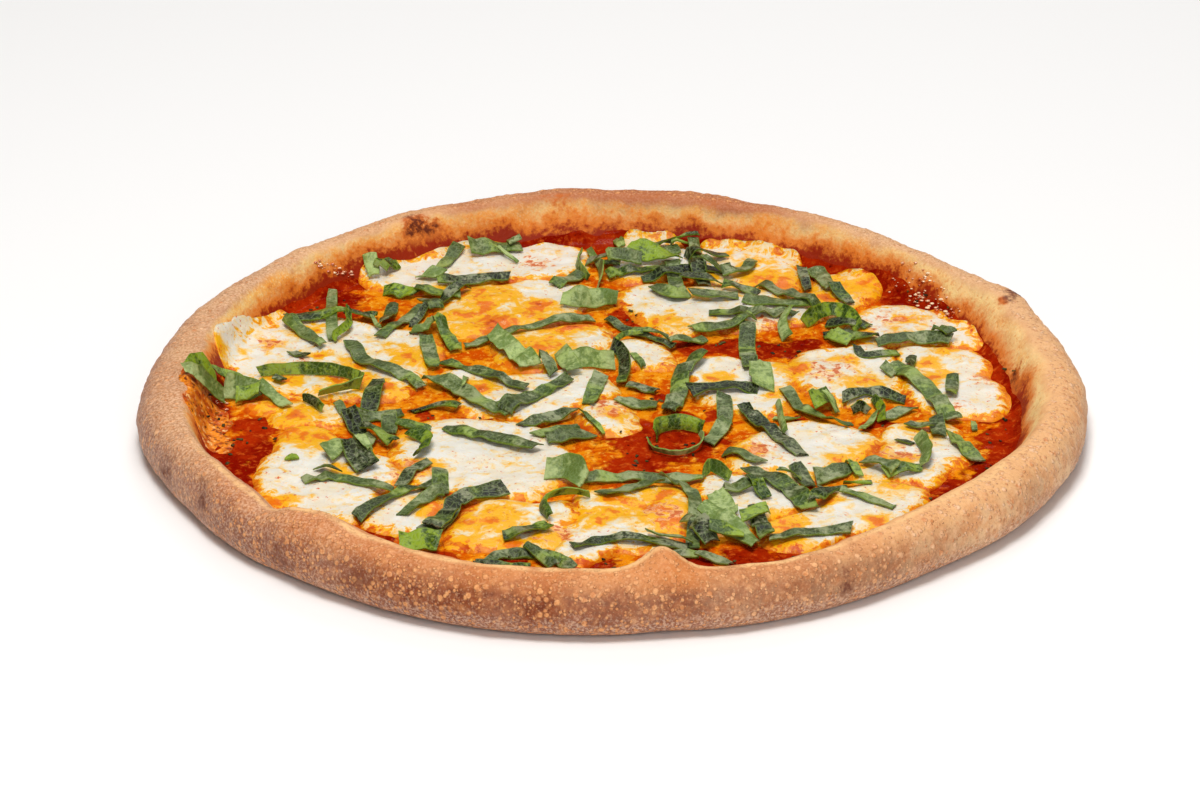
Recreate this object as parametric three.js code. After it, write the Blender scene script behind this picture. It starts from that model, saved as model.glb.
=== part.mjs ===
// A fourteen inch margherita pizza, whole and uncut: a raised crust, tomato sauce in its dish, pools of
// melted mozzarella on the sauce, and ribbons of fresh basil laid over them.
// Millimetres. The origin is under the middle of the base, +Z is up, and the front of the pizza is at -Y.
import * as THREE from "three";

// ---- Driving dimensions ----
const OUTER_RADIUS = 175; // the rim's widest reach, before its bulges
const RIM_HEIGHT = 22; // the crest of the rim, before its bulges
const RIM_WIDTH = 19; // from the widest reach to where the slope meets the floor
const CREST_SHARE = 0.56; // the crest's place across the rim, counted from outside
const WAIST_HEIGHT = 9.5; // height of the rim's widest reach
const BASE_THICKNESS = 5; // baked dough under the sauce
const SAUCE_THICKNESS = 1.1;
const CHEESE_THICKNESS = 2.2; // in the middle of a pool
const LEAF_THICKNESS = 0.6; // a basil leaf with its curl
const GAP = 0.3; // air between two pieces that rest on each other

const SAUCE_TOP = BASE_THICKNESS + GAP + SAUCE_THICKNESS;
const CHEESE_FOOT = SAUCE_TOP + GAP;
const CHEESE_TOP = CHEESE_FOOT + CHEESE_THICKNESS;

const RING_STEPS = 96; // facets round the crust and the sauce
const POOL_STEPS = 22; // facets round a pool of mozzarella

const radians = THREE.MathUtils.degToRad;

// ---- Uneven dough ----
// A bulge of the rim is [bearing in degrees, reach in millimetres, half width in degrees]. Bearings run
// counter-clockwise from +X, seen from above.
const OUTER_BULGES = [
  [-5, 2.2, 16],
  [24, 2.2, 4],
  [42, -3.5, 10],
  [76, 2, 11],
  [98, 3, 13],
  [118, 2.5, 9],
  [150, -1.5, 12],
  [190, 1.5, 9],
  [210, -1.5, 8],
  [256, 2.5, 17],
  [310, -3, 14],
];
const HEIGHT_BULGES = [
  [24, 1, 4],
  [62, 1.5, 12],
  [79, 2, 9],
  [97, 3.5, 13],
  [118, 1.5, 8],
  [224, -2.5, 3],
  [232, 2.5, 8],
  [276, 6, 3],
  [291, -2, 9],
];
const SLOPE_BULGES = [
  [5, 6, 16],
  [190, -2, 14],
  [224, -4, 3],
  [232, 5, 9],
  [276, 9, 3.5],
  [320, 9, 16],
];

// The sum of the bulges at one bearing.
function bulge(bulges, bearing) {
  let sum = 0;
  for (const [centre, reach, halfWidth] of bulges) {
    const turn = THREE.MathUtils.euclideanModulo(bearing - centre + 180, 360) - 180;
    sum += reach * Math.exp(-((turn / halfWidth) ** 2));
  }
  return sum;
}

const outerRadius = (bearing) => OUTER_RADIUS + bulge(OUTER_BULGES, bearing);
const slopeFootRadius = (bearing) => OUTER_RADIUS - RIM_WIDTH - bulge(SLOPE_BULGES, bearing);
const rimHeight = (bearing) => RIM_HEIGHT + bulge(HEIGHT_BULGES, bearing);

// ---- Crust ----
const ARC_STEPS = 8; // from the foot, round the outside, to the crest
const SLOPE_STEPS = 6; // from the crest down to the floor
const ROUNDNESS = 0.75; // below 1 the outside is fuller than an ellipse

const power = (value, exponent) => Math.sign(value) * Math.abs(value) ** exponent;

function crestRadius(bearing) {
  const outer = outerRadius(bearing);
  return outer - CREST_SHARE * (outer - slopeFootRadius(bearing));
}

// A point on the inner slope: share 0 is the crest and share 1 the floor.
function slopePoint(bearing, share) {
  const rise = (rimHeight(bearing) - BASE_THICKNESS) * (1 + Math.cos(Math.PI * share)) * 0.5;
  return new THREE.Vector2(
    THREE.MathUtils.lerp(crestRadius(bearing), slopeFootRadius(bearing), share),
    BASE_THICKNESS + rise,
  );
}

// The crust's section at one bearing, from the middle of the underside round to the middle of the floor.
function crustSection(bearing) {
  const crest = crestRadius(bearing);
  const points = [new THREE.Vector2(0, 0)];
  for (let i = 0; i <= ARC_STEPS; i++) {
    const turn = radians(-90 + (180 * i) / ARC_STEPS);
    const half = turn < 0 ? WAIST_HEIGHT : rimHeight(bearing) - WAIST_HEIGHT;
    points.push(
      new THREE.Vector2(
        crest + (outerRadius(bearing) - crest) * power(Math.cos(turn), ROUNDNESS),
        WAIST_HEIGHT + half * Math.sin(turn),
      ),
    );
  }
  for (let i = 1; i <= SLOPE_STEPS; i++) points.push(slopePoint(bearing, i / SLOPE_STEPS));
  points.push(new THREE.Vector2(0, BASE_THICKNESS));
  return points;
}

// A turned solid whose section changes with the bearing.
function turnedSolid(sectionAt, steps) {
  const geometry = new THREE.LatheGeometry(sectionAt(0), steps);
  const rows = sectionAt(0).length;
  const position = geometry.getAttribute("position");
  for (let i = 0; i < position.count; i++) {
    const bearing = ((Math.floor(i / rows) % steps) * 360) / steps;
    const point = sectionAt(bearing)[i % rows];
    const turn = radians(bearing);
    position.setXYZ(i, point.x * Math.cos(turn), point.x * Math.sin(turn), point.y);
  }
  return geometry;
}

// ---- Tomato sauce ----
// Spread over the floor and a little way up the slope of the rim.
const SAUCE_SHARES = [1, 0.8, 0.64]; // where its underside touches the slope
const SAUCE_INSET = 0.6; // its underside stays this far inside the slope

function sauceSection(bearing) {
  const underside = SAUCE_SHARES.map((share) => {
    const point = slopePoint(bearing, share);
    return new THREE.Vector2(point.x - SAUCE_INSET, point.y + GAP);
  });
  const surface = underside.map((point) => {
    return new THREE.Vector2(point.x - SAUCE_THICKNESS, point.y + SAUCE_THICKNESS);
  });
  return [
    new THREE.Vector2(0, BASE_THICKNESS + GAP),
    ...underside,
    ...surface.reverse(),
    new THREE.Vector2(0, SAUCE_TOP),
  ];
}

// ---- Mozzarella ----
// Torn pieces of fresh mozzarella melt into round dabs [x, y, radius], and the dabs of one pool run together.
const POOLS = {
  west: [[-135, 48, 20], [-112, 55, 22], [-88, 45, 22], [-118, 28, 22], [-92, 22, 20], [-122, 72, 10]],
  west_strip: [[-118, -10, 10], [-132, -6, 9], [-105, -12, 8], [-143, -4, 6]],
  northwest: [[-75, 125, 20], [-52, 135, 20], [-32, 135, 20], [-85, 120, 14], [-22, 140, 12]],
  mid_northwest: [[-48, 92, 18], [-28, 98, 16], [-55, 75, 14], [-30, 80, 14], [-15, 100, 10]],
  north: [[14, 148, 10], [22, 135, 14], [10, 125, 12]],
  northeast: [[50, 138, 16], [60, 130, 14], [62, 118, 14], [45, 122, 12]],
  centre_north: [[22, 88, 16], [38, 92, 18], [55, 92, 16], [26, 70, 9], [70, 85, 13], [50, 78, 12], [12, 100, 8]],
  yellow_northeast: [[96, 104, 10], [90, 112, 8], [88, 88, 8], [84, 95, 9]],
  east_north: [[112, 74, 16], [122, 62, 14], [134, 58, 9], [103, 62, 10]],
  east: [[128, 32, 18], [118, 42, 12], [134, 10, 14], [120, 15, 14], [138, -4, 9], [125, -2, 8]],
  mid_east: [[85, 18, 14], [98, 38, 14], [92, 8, 10], [102, 18, 12], [80, 38, 9], [76, 25, 8]],
  centre_east: [[42, 25, 14], [44, 10, 12], [60, 25, 11], [58, 8, 10], [34, 32, 6], [55, -2, 10]],
  centre: [[-22, 52, 19], [-10, 60, 9], [-30, 42, 12], [-35, 55, 9]],
  centre_small: [[11, 45, 9], [16, 38, 7], [7, 50, 6]],
  centre_west: [[-38, 8, 16], [-22, 8, 16], [-8, 8, 9], [-55, 22, 9], [-48, -2, 9], [-12, 22, 9], [-28, -8, 9]],
  centre_brown: [[-2, -12, 9], [1, -20, 7], [-6, -4, 7]],
  southwest: [[-45, -40, 24], [-62, -32, 16], [-30, -55, 18], [-55, -62, 18], [-68, -50, 12], [-35, -70, 12]],
  west_south: [[-108, -50, 17], [-112, -30, 9], [-105, -75, 17], [-92, -88, 12], [-118, -62, 9], [-90, -60, 14]],
  southwest_rim: [[-78, -92, 12], [-70, -100, 9], [-66, -82, 9]],
  south_left: [[-38, -98, 15], [-28, -112, 12], [-48, -110, 10], [-18, -92, 9]],
  south: [[0, -88, 15], [14, -95, 14], [-5, -108, 12], [12, -112, 10], [-12, -122, 9], [20, -80, 8]],
  southeast_inner: [[42, -72, 12], [50, -88, 12], [40, -100, 9], [58, -70, 9], [65, -85, 10]],
  southeast: [[88, -88, 15], [75, -98, 13], [100, -78, 12], [62, -108, 10], [70, -112, 8], [95, -98, 9]],
  east_south: [[72, -35, 17], [58, -42, 13], [85, -38, 14], [52, -52, 8], [70, -55, 9]],
  east_southeast: [[112, -32, 12], [105, -48, 12], [122, -45, 9], [118, -25, 9], [95, -60, 8], [110, -62, 9]],
};
const RUN_TOGETHER = 3; // how softly two dabs of a pool join
const POOL_SPACING = 1.4; // sauce left showing between neighbouring pools
const POOL_MARGIN = 2; // a pool stops this far inside the foot of the slope
const MARCH_STEP = 0.25;

// How far a spot is outside a pool: negative inside it, and zero on its outline.
function outside(dabs, x, y) {
  let sum = 0;
  for (const [dabX, dabY, radius] of dabs) {
    sum += Math.exp((radius - Math.hypot(x - dabX, y - dabY)) / RUN_TOGETHER);
  }
  return -RUN_TOGETHER * Math.log(sum);
}

// The middle of a pool: its dabs' middles, weighted by their areas.
function poolMiddle(dabs) {
  const middle = new THREE.Vector2();
  let area = 0;
  for (const [x, y, radius] of dabs) {
    middle.x += x * radius ** 2;
    middle.y += y * radius ** 2;
    area += radius ** 2;
  }
  return middle.divideScalar(area);
}

function isInPool(dabs, x, y) {
  const depth = outside(dabs, x, y);
  if (depth > 0) return false;
  const bearing = THREE.MathUtils.radToDeg(Math.atan2(y, x));
  if (Math.hypot(x, y) > slopeFootRadius(bearing) - POOL_MARGIN) return false;
  return Object.values(POOLS).every((other) => other === dabs || outside(other, x, y) > depth + POOL_SPACING);
}

// From its middle, how far a pool reaches in each of its directions.
function poolReaches(dabs) {
  const middle = poolMiddle(dabs);
  const reaches = [];
  for (let i = 0; i < POOL_STEPS; i++) {
    const turn = (2 * Math.PI * i) / POOL_STEPS;
    let reach = 0;
    while (isInPool(dabs, middle.x + reach * Math.cos(turn), middle.y + reach * Math.sin(turn))) {
      reach += MARCH_STEP;
    }
    reaches.push(reach);
  }
  return reaches;
}

// A pool's section has a flat foot, a rounded edge and a flat top. Radii are shares of the reach.
const POOL_SECTION = [
  [0, 0],
  [0.97, 0],
  [1, 0.45],
  [0.9, 0.9],
  [0, 1],
];

function poolGeometry(dabs) {
  const reaches = poolReaches(dabs);
  const sectionAt = (bearing) => {
    const reach = reaches[Math.round((bearing * POOL_STEPS) / 360)];
    return POOL_SECTION.map(([share, rise]) => new THREE.Vector2(share * reach, rise * CHEESE_THICKNESS));
  };
  return turnedSolid(sectionAt, POOL_STEPS);
}

// ---- Basil ----
// Leaves cut across into ribbons. Each is [width, start, ..., end] with [x, y] places along its middle line,
// in the order in which they were dropped.
const RIBBONS = [
  [4.5, [-111, 101], [-110, 80], [-108, 52]],
  [6, [-127, 71], [-98, 76], [-95, 81]],
  [5, [-127, 70], [-111, 46]],
  [6, [-101, 50], [-94, 32], [-80, 20], [-72, 12]],
  [5, [-70, 109], [-41, 115]],
  [4.5, [-75, 88], [-90, 56]],
  [4.5, [-57, 50], [-35, 64], [-8, 77]],
  [5.5, [-64, 36], [-32, 8]],
  [7, [-69, 19], [-58, 10], [-49, -6], [-37, -12]],
  [6.5, [-16, 18], [-40, -13]],
  [8, [-46, 56], [-31, 28]],
  [5, [0, 48], [5, 35], [4, 15]],
  [7, [35, 37], [27, 22], [25, 5], [21, -10]],
  [6.5, [53, 68], [52, 45], [53, 25]],
  [6, [49, -8], [57, -25], [69, -50]],
  [6, [-2, 118], [15, 121], [48, 123]],
  [6, [24, 130], [26, 95]],
  [7, [52, 90], [80, 86]],
  [6, [59, 108], [81, 82]],
  [7, [38, 79], [72, 78]],
  [7, [82, 122], [88, 100]],
  [4.5, [-2, 77], [10, 62], [24, 48]],
  [7, [107, 30], [118, 8], [123, -8], [127, -18]],
  [6, [102, 48], [116, 53], [131, 51]],
  [5, [65, 9], [70, -5], [78, -15], [88, -24]],
  [5, [-10, -66], [12, -64], [33, -68]],
  [7, [48, -61], [62, -75], [70, -95]],
  [5.5, [55, -116], [84, -108]],
  [6.5, [-61, -26], [-27, -46]],
  [7, [-88, 14], [-91, -10]],
  [6, [-66, -110], [-58, -98], [-56, -88], [-50, -82], [-38, -80]],
  [5, [-90, -100], [-83, -89], [-72, -78], [-62, -70]],
  [5, [-111, -70], [-98, -68], [-78, -78]],
];
const RIBBON_PITCH = 6; // between two places where a ribbon's height is worked out
const RESTING_SPOTS = 12; // spots tried on each ring round such a place
const RESTING_RINGS = 2;

// The top of the sauce at a spot: level over the floor, and rising with the slope of the rim.
function sauceHeight(spot) {
  const bearing = THREE.MathUtils.radToDeg(Math.atan2(spot.y, spot.x));
  const reach = Math.hypot(spot.x, spot.y) + SAUCE_INSET + SAUCE_THICKNESS;
  const share = THREE.MathUtils.inverseLerp(crestRadius(bearing), slopeFootRadius(bearing), reach);
  return slopePoint(bearing, THREE.MathUtils.clamp(share, 0, 1)).y + GAP + SAUCE_THICKNESS;
}

// The height of whatever already lies at a spot: an earlier ribbon, a pool, or the sauce.
function heightAt(spot, laid) {
  let height = sauceHeight(spot);
  if (Object.values(POOLS).some((dabs) => isInPool(dabs, spot.x, spot.y))) height = Math.max(height, CHEESE_TOP);
  for (const patch of laid) {
    if (Math.hypot(spot.x - patch.x, spot.y - patch.y) < patch.radius) height = Math.max(height, patch.top);
  }
  return height;
}

// The height at which a leaf rests over one place, clear of all that lies within its reach.
function restingHeight(place, reach, laid) {
  let height = heightAt(place, laid);
  for (let ring = 1; ring <= RESTING_RINGS; ring++) {
    for (let i = 0; i < RESTING_SPOTS; i++) {
      const turn = (2 * Math.PI * i) / RESTING_SPOTS;
      const offset = new THREE.Vector3(Math.cos(turn), Math.sin(turn), 0);
      const spot = offset.multiplyScalar((reach * ring) / RESTING_RINGS).add(place);
      height = Math.max(height, heightAt(spot, laid));
    }
  }
  return height + GAP;
}

// Where a ribbon lies: a place and a direction across it for each step along its middle line.
function ribbonStations(width, places, laid) {
  const line = new THREE.CatmullRomCurve3(places.map(([x, y]) => new THREE.Vector3(x, y, 0)));
  const steps = Math.ceil(line.getLength() / RIBBON_PITCH);
  const stations = [];
  for (let i = 0; i <= steps; i++) {
    const place = line.getPointAt(i / steps);
    const heading = line.getTangentAt(i / steps);
    place.z = restingHeight(place, width / 2 + RIBBON_PITCH, laid);
    stations.push({ place, across: new THREE.Vector3(-heading.y, heading.x, 0) });
  }
  return stations;
}

// The patches of a ribbon that later ribbons rest on. Each is as high as the higher of its neighbours.
function ribbonPatches(width, stations) {
  return stations.map(({ place }, i) => {
    const neighbours = stations.slice(Math.max(0, i - 1), i + 2);
    const top = Math.max(...neighbours.map((station) => station.place.z)) + LEAF_THICKNESS;
    return { x: place.x, y: place.y, radius: (width + RIBBON_PITCH) / 2, top };
  });
}

function ribbonGeometry(width, stations) {
  const steps = stations.length - 1;
  const geometry = new THREE.BoxGeometry(1, width, LEAF_THICKNESS, steps, 1, 1);
  const position = geometry.getAttribute("position");
  for (let i = 0; i < position.count; i++) {
    const { place, across } = stations[Math.round((position.getX(i) + 0.5) * steps)];
    const spot = place.clone().addScaledVector(across, position.getY(i));
    position.setXYZ(i, spot.x, spot.y, spot.z + LEAF_THICKNESS / 2 + position.getZ(i));
  }
  return geometry;
}

// ---- Assembly ----
const part = new THREE.Group();

function addMesh(name, geometry, material) {
  const mesh = new THREE.Mesh(geometry, material);
  mesh.name = name;
  part.add(mesh);
  return mesh;
}

const finish = (color, roughness) => new THREE.MeshStandardMaterial({ color, roughness, metalness: 0 });

addMesh("crust", turnedSolid(crustSection, RING_STEPS), finish(0xc98450, 0.7));
addMesh("tomato_sauce", turnedSolid(sauceSection, RING_STEPS), finish(0x9c2404, 0.3));

const mozzarella = finish(0xefe3cc, 0.35);
for (const [name, dabs] of Object.entries(POOLS)) {
  const middle = poolMiddle(dabs);
  addMesh(`mozzarella_${name}`, poolGeometry(dabs), mozzarella).position.set(middle.x, middle.y, CHEESE_FOOT);
}

const basil = finish(0x3d5c33, 0.55);
const laid = [];
RIBBONS.forEach(([width, ...places], i) => {
  const stations = ribbonStations(width, places, laid);
  addMesh(`basil_ribbon_${i + 1}`, ribbonGeometry(width, stations), basil);
  laid.push(...ribbonPatches(width, stations));
});

export default part;
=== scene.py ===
"""A fourteen inch margherita pizza, built round its measured frame, from its crust to its basil."""
import bpy
import bmesh
import functools
import math
from mathutils import Matrix, Vector, noise


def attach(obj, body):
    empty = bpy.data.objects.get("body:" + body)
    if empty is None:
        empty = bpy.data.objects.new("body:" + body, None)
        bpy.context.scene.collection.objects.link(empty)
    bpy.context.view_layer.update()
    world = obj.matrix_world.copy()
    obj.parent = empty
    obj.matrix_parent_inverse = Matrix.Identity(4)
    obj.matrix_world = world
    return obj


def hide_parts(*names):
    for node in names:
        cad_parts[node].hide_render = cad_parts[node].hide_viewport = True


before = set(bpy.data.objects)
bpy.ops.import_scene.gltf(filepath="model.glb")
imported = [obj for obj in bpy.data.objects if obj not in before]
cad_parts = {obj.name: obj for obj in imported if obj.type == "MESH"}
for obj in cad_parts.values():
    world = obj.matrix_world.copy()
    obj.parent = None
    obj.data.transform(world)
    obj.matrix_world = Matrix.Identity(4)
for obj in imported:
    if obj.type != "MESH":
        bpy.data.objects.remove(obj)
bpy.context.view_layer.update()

# ---- Crust ----
# Yeast dough pressed out by hand with a thick rim left round it, then baked on a hot floor. The rim is
# golden inside, browned and blistered outside, and floury round its foot. Shapes are in millimetres.
MM = 0.001
RIM_RADIUS = 175.0
RIM_HEIGHT = 22.0
RIM_WIDTH = 24.0
CREST_SHARE = 0.44
WAIST = 9.5
FLOOR = 5.0
# Each bulge is a bearing, a reach and a half width in degrees. The reach of CREST_BULGES is a share of
# the rim's width, and that of SLOPE_BULGES goes inwards.
OUTER_BULGES = [
    (-5, 2.2, 16), (24, 2.2, 4), (42, -3.5, 10), (76, 2, 11), (98, 3, 13), (118, 2.5, 9), (150, -1.5, 12),
    (190, 1.5, 9), (210, -1.5, 8), (256, 2.5, 17), (310, -3, 14),
]
HEIGHT_BULGES = [
    (24, 1, 4), (62, 1.5, 12), (79, 2, 9), (97, 3.5, 13), (118, 1.5, 8), (224, -2.5, 3), (232, 2.5, 8),
    (276, 6, 3), (291, -2, 9),
]
SLOPE_BULGES = [
    (5, 4, 16), (178, 7, 16), (190, -2, 14), (224, -4, 3), (232, 5, 9), (276, 9, 3.5), (320, 7, 16),
]
CREST_BULGES = [(178, 0.14, 18)]
CRUST_STEPS = 1320
ARC_ROWS = 38
SLOPE_ROWS = 20
ROUNDNESS = 0.75
CREST_ROUNDNESS = 1.2
# The dough swells fully down to one share of its inner slope and no more from the other.
RISEN_SHARE = 0.4
LEVEL_SHARE = 0.9
# Waves of unevenness are each a height, the size of the bumps and a seed.
DOUGH_SWELLS = [(0.7, 30, 1.5), (0.5, 12, 4.2)]
DOUGH_ROUGHNESS = [(0.1, 3, 2.2)]
BUBBLE_SPACING = 12.0
BUBBLE_HEIGHT = 0.35
SMALLEST_BUBBLE = 0.2
BUBBLE_RANGE = 0.3
BLISTER_SPACING = 4.6
BLISTER_HEIGHT = 0.3
SMALL_BLISTER_SPACING = 2.9
SMALL_BLISTER_HEIGHT = 0.2
INNER_BLISTERS = 0.3
RIM_MARGIN = 6
STAIN_WAVES = [(0.12, 14, 7.7)]
BAKED_WAVES = [(0.25, 20, 3.1)]
FOOT_UNEVENNESS = 0.45


def around_from(centre, bearing):
    """Degrees from one bearing to another, the short way round."""
    return (bearing - centre + 180) % 360 - 180


def bulge(rows, bearing):
    """The sum of the bulges at one bearing."""
    return sum(
        reach * math.exp(-((around_from(centre, bearing) / half) ** 2)) for centre, reach, half in rows
    )


@functools.cache
def outer_radius(bearing):
    return RIM_RADIUS + bulge(OUTER_BULGES, bearing)


@functools.cache
def foot_radius(bearing):
    return RIM_RADIUS - RIM_WIDTH - bulge(SLOPE_BULGES, bearing)


@functools.cache
def rim_height(bearing):
    return RIM_HEIGHT + bulge(HEIGHT_BULGES, bearing)


@functools.cache
def crest_radius(bearing):
    outer = outer_radius(bearing)
    return outer - (CREST_SHARE + bulge(CREST_BULGES, bearing)) * (outer - foot_radius(bearing))


def fall(share):
    """How much of its height the inner slope still has: share 0 is the crest and share 1 the floor."""
    return (1 + math.cos(math.pi * min(max(share, 0), 1) ** CREST_ROUNDNESS)) / 2


def slope_height(bearing, share):
    return FLOOR + (rim_height(bearing) - FLOOR) * fall(share)


def slope_share(bearing, radius):
    crest = crest_radius(bearing)
    return (radius - crest) / (foot_radius(bearing) - crest)


def bearing_of(place):
    return round(math.degrees(math.atan2(place.y, place.x)) % 360, 1)


def wave(place, size, seed):
    """Smooth unevenness between about -1 and 1, with bumps of the given size."""
    return noise.noise(place / size + Vector((seed, seed, seed)))


def waves(rows, place):
    """The sum of several waves, each with its height, its size and its seed."""
    return sum(height * wave(place, size, seed) for height, size, seed in rows)


def smooth_step(low, high, value):
    share = min(max((value - low) / (high - low), 0), 1)
    return share * share * (3 - 2 * share)


def bubble(place, spacing, seed):
    """Height, from 0 to 1, of the bubbles on the dough, with one centre in each patch of this spacing."""
    distances, centres = noise.voronoi(place / spacing + Vector((seed, seed, seed)))
    size = SMALLEST_BUBBLE + BUBBLE_RANGE * abs(noise.cell(centres[0] * 9.1))
    return max(0, 1 - (distances[0] / size) ** 2)


def swell_at(place):
    """How far the baked dough has risen out of its even shape."""
    return waves(DOUGH_SWELLS, place) + BUBBLE_HEIGHT * bubble(place, BUBBLE_SPACING, 8.3)


# The profile is spun with the plain radii; the bulges are put in afterwards, bearing by bearing.
PLAIN_FOOT = RIM_RADIUS - RIM_WIDTH
PLAIN_CREST = RIM_RADIUS - CREST_SHARE * RIM_WIDTH
UNDERSIDE_RADII = (0, 40, 80, 115, 135, 148)
FLOOR_RADII = (130, 0)


def crust_profile():
    points = [(radius, 0.0) for radius in UNDERSIDE_RADII]
    for row in range(ARC_ROWS + 1):
        turn = math.radians(-90 + 180 * row / ARC_ROWS)
        half = WAIST if turn < 0 else RIM_HEIGHT - WAIST
        reach = (RIM_RADIUS - PLAIN_CREST) * math.cos(turn) ** ROUNDNESS if math.cos(turn) > 1e-6 else 0
        points.append((PLAIN_CREST + reach, WAIST + half * math.sin(turn)))
    for row in range(1, SLOPE_ROWS + 1):
        share = row / SLOPE_ROWS
        radius = PLAIN_CREST + (PLAIN_FOOT - PLAIN_CREST) * share
        points.append((radius, FLOOR + (RIM_HEIGHT - FLOOR) * fall(share)))
    return points + [(radius, FLOOR) for radius in FLOOR_RADII]


def bulged(place):
    """Where a point of the plain turned rim goes on the uneven one."""
    bearing = bearing_of(place)
    radius = math.hypot(place.x, place.y)
    if radius < 1e-3:
        return place
    foot, crest, outer = foot_radius(bearing), crest_radius(bearing), outer_radius(bearing)
    if radius < PLAIN_FOOT:
        new_radius = radius * foot / PLAIN_FOOT
    elif radius < PLAIN_CREST:
        new_radius = foot + (radius - PLAIN_FOOT) * (crest - foot) / (PLAIN_CREST - PLAIN_FOOT)
    else:
        new_radius = crest + (radius - PLAIN_CREST) * (outer - crest) / (RIM_RADIUS - PLAIN_CREST)
    height = place.z
    base = WAIST if radius > PLAIN_CREST else FLOOR
    if height > base:
        height = base + (height - base) * (rim_height(bearing) - base) / (RIM_HEIGHT - base)
    return Vector((place.x * new_radius / radius, place.y * new_radius / radius, height))


# A toasted spot is a distance outwards from the crest, a bearing, a height, a radius and a strength.
TOASTED_SPOTS = [
    (-5, 120, 19, 5, 0.8), (-6, 117, 19, 4, 0.6), (-2, 119, 21, 5, 0.5), (5, 24, 19, 4, 1.7),
    (0, 22, 22, 4, 0.6), (-10, 6, 11, 6, 0.7), (-13, 2, 9, 5, 0.5), (9, 203, 12, 9, 0.6),
    (8, 213, 14, 8, 0.7), (9, 298, 12, 7, 0.6), (9, 240, 12, 14, 0.4), (8, 188, 12, 10, 0.4),
    (10, 229, 9, 10, 0.5), (3, 84, 22, 6, 0.4), (8, 320, 15, 6, 0.3), (0, 98, 24, 10, 0.3),
    (2, 75, 23, 8, 0.3), (-12, 186, 9, 4, 0.9), (-14, 182, 8, 3, 0.9), (-10, 178, 12, 4, 0.6),
]
# How dark the rim is baked, by bearing, as bulges.
BAKED_SIDES = [(262, 0.75, 42), (215, 0.35, 25), (88, 0.9, 38), (178, 0.3, 18), (300, 0.2, 16)]
# Where flour still lies on the outside and the crown of the rim.
FLOURED_SIDES = [(190, 0.7, 26), (224, 0.45, 20), (150, 0.5, 20), (100, 0.25, 30), (45, 0.35, 25)]
# Where the sauce has soaked higher, or less high, up the inner slope, in shares of the slope.
SOAKED_SIDES = [
    (50, 0.04, 20), (128, 0.06, 20), (182, 0.25, 14), (8, -0.12, 20), (1, 0.2, 5), (155, -0.06, 12),
]


def toast_at(place, bearing, radius):
    toast = 0
    out = radius - crest_radius(bearing)
    for beyond, centre, height, size, strength in TOASTED_SPOTS:
        sideways = math.radians(around_from(centre, bearing)) * radius
        apart = sideways ** 2 + (out - beyond) ** 2 + (place.z - height) ** 2
        toast += strength * math.exp(-apart / size ** 2)
    return toast


crust_bm = bmesh.new()
profile_verts = [crust_bm.verts.new((radius, 0, height)) for radius, height in crust_profile()]
profile_edges = [crust_bm.edges.new(pair) for pair in zip(profile_verts, profile_verts[1:])]
bmesh.ops.spin(
    crust_bm, geom=profile_verts + profile_edges, cent=(0, 0, 0), axis=(0, 0, 1), angle=2 * math.pi,
    steps=CRUST_STEPS, use_merge=True
)
bmesh.ops.remove_doubles(crust_bm, verts=crust_bm.verts, dist=0.001)
bmesh.ops.recalc_face_normals(crust_bm, faces=crust_bm.faces)
for vert in crust_bm.verts:
    vert.co = bulged(vert.co)
crust_bm.normal_update()
CRUST_LAYERS = ("blister", "toast", "share", "soaked", "baked", "floured")
crust_layers = [crust_bm.verts.layers.float.new(name) for name in CRUST_LAYERS]
for vert in crust_bm.verts:
    place = vert.co.copy()
    bearing = bearing_of(place)
    radius = math.hypot(place.x, place.y)
    outside = smooth_step(-3, 5, radius - crest_radius(bearing))
    share = slope_share(bearing, radius)
    large = bubble(place, BLISTER_SPACING, 3.7)
    small = bubble(place, SMALL_BLISTER_SPACING, 5.1)
    if radius > foot_radius(bearing) - RIM_MARGIN:
        blisters = BLISTER_HEIGHT * large + SMALL_BLISTER_HEIGHT * small
        blisters *= INNER_BLISTERS + (1 - INNER_BLISTERS) * outside
        rise = swell_at(place) + waves(DOUGH_ROUGHNESS, place) + blisters
        calm = smooth_step(0.5, 6, place.z) * smooth_step(LEVEL_SHARE, RISEN_SHARE, share)
        vert.co = place + vert.normal * rise * calm
    elif place.z < 1:
        vert.co.z = place.z + FOOT_UNEVENNESS * max(0, wave(place, 9, 6.1))
    stained = share + waves(STAIN_WAVES, place)
    values = (
        outside * max(large, 0.8 * small),
        toast_at(place, bearing, radius),
        stained,
        stained + bulge(SOAKED_SIDES, bearing),
        min(bulge(BAKED_SIDES, bearing), 1) + waves(BAKED_WAVES, place),
        min(bulge(FLOURED_SIDES, bearing), 1),
    )
    for layer, value in zip(crust_layers, values):
        vert[layer] = value


def colour(red, green, blue):
    """A colour given in screen values from 0 to 255, as the shader takes it."""
    parts = [part / 255 for part in (red, green, blue)]
    return tuple(p / 12.92 if p <= 0.04045 else ((p + 0.055) / 1.055) ** 2.4 for p in parts) + (1.0,)


def shader_of(material):
    return material.node_tree.nodes["Principled BSDF"]


def new_finish(name, roughness, specular):
    material = bpy.data.materials.new(name)
    material.use_nodes = True
    shader = shader_of(material)
    shader.inputs["Roughness"].default_value = roughness
    shader.inputs["Specular IOR Level"].default_value = specular
    return material


def put(tree, kind, inputs=None, **settings):
    """Adds a node, with its settings and its inputs, each a value or another node's output."""
    made = tree.nodes.new(kind)
    for key, value in settings.items():
        setattr(made, key, value)
    for key, value in (inputs or {}).items():
        if isinstance(value, bpy.types.NodeSocket):
            tree.links.new(value, made.inputs[key])
        else:
            made.inputs[key].default_value = value
    return made


def own_place(material):
    """The piece's own coordinates."""
    return put(material.node_tree, "ShaderNodeTexCoord").outputs["Object"]


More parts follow.
